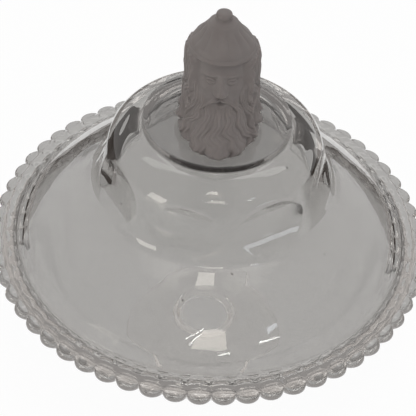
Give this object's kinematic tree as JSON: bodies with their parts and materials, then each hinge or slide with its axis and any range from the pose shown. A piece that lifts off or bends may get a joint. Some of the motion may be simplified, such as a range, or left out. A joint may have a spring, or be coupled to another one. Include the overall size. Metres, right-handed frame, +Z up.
{
  "type": "covered compote",
  "caption": "Low-footed pressed glass bowl with a lift-off beaded cover, panelled dome and frosted bearded-head finial.",
  "frame": {"origin": "centre of the underside of the foot, on the surface that the compote stands on", "axes": "+Z up along the axis of bowl and cover; -Y is the front, where the finial's face looks"},
  "size_m": [0.22, 0.22, 0.2216],
  "materials": {
    "clear_glass": "clear fire-polished pressed glass, faintly grey",
    "frosted_glass": "acid-frosted satin glass"
  },
  "bodies": {
    "compote_base": {"bowl": "clear_glass", "wafer": "clear_glass", "foot": "clear_glass"},
    "cover_body": {"cover": "clear_glass", "finial": "frosted_glass"}
  },
  "joints": [
    {"name": "cover_lift", "type": "slide", "parent": "compote_base", "child": "cover_body", "axis": [0, 0, 1], "range_m": [0, 0.12]}
  ]
}
